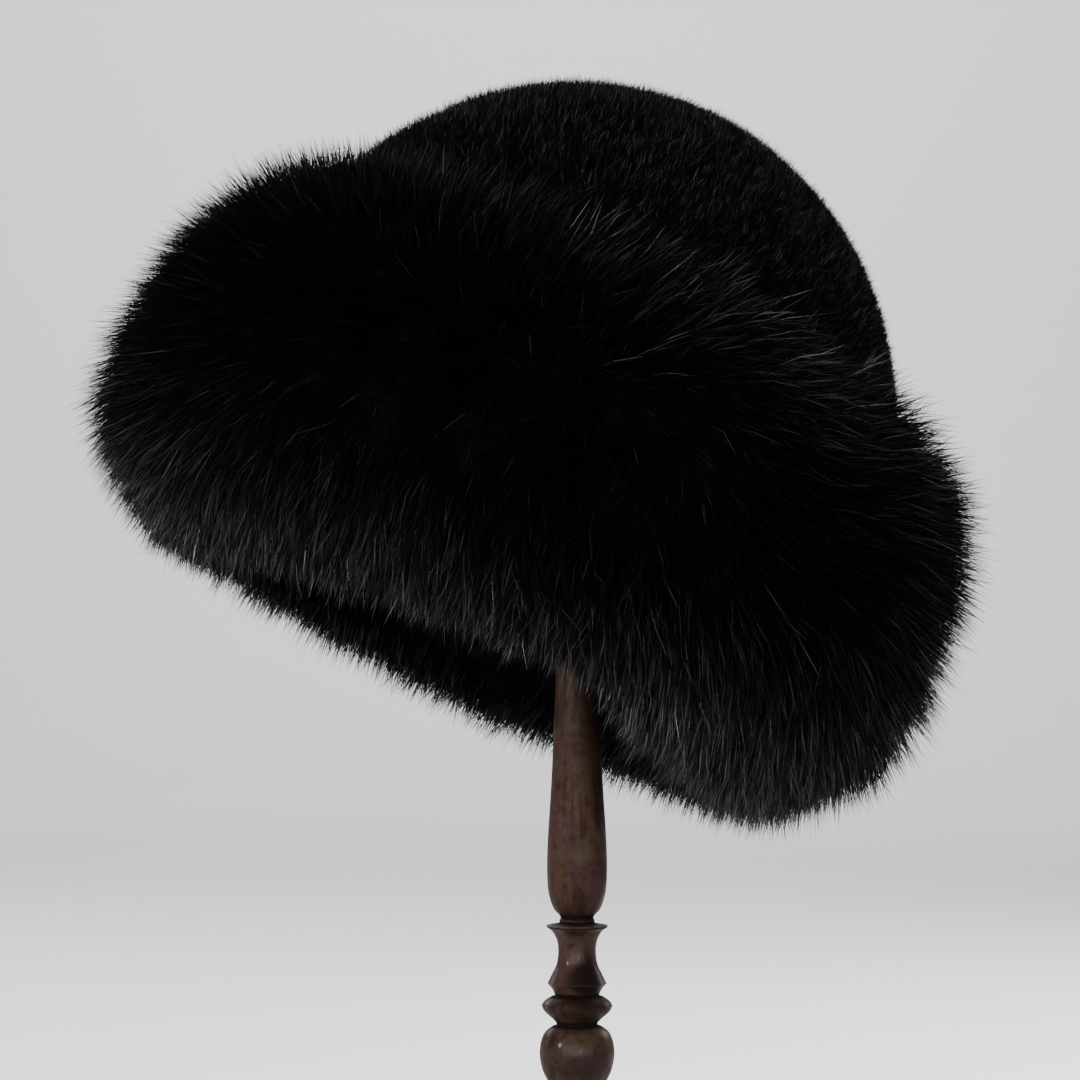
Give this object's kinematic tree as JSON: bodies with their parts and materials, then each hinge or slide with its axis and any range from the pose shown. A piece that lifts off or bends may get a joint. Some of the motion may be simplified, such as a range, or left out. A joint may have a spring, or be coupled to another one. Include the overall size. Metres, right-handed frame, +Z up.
{
  "type": "fur hat on turned wooden stand",
  "caption": "Black fur hat with a short piled dome crown and a deep long piled cuff, tilted on a slender dark turned wooden stand.",
  "frame": {"origin": "middle of the base's underside, on the post's axis", "axes": "+Z up along the post; +X to the side on which the hat is turned down; -Y towards the viewer, where the hat's mouth opens a little"},
  "size_m": [0.2958, 0.2814, 0.441],
  "materials": {
    "crown_plush": "short dense black pile with a faint warm sheen",
    "long_fur": "long soft black pile, its strands lightly glossed",
    "dark_wood": "dark brown stain under satin varnish, mottled and a little worn"
  },
  "bodies": {
    "root": {"crown": "crown_plush", "fur_cuff": "long_fur", "stand_head": "dark_wood", "stand_spindle": "dark_wood", "stand_base": "dark_wood"}
  },
  "joints": []
}
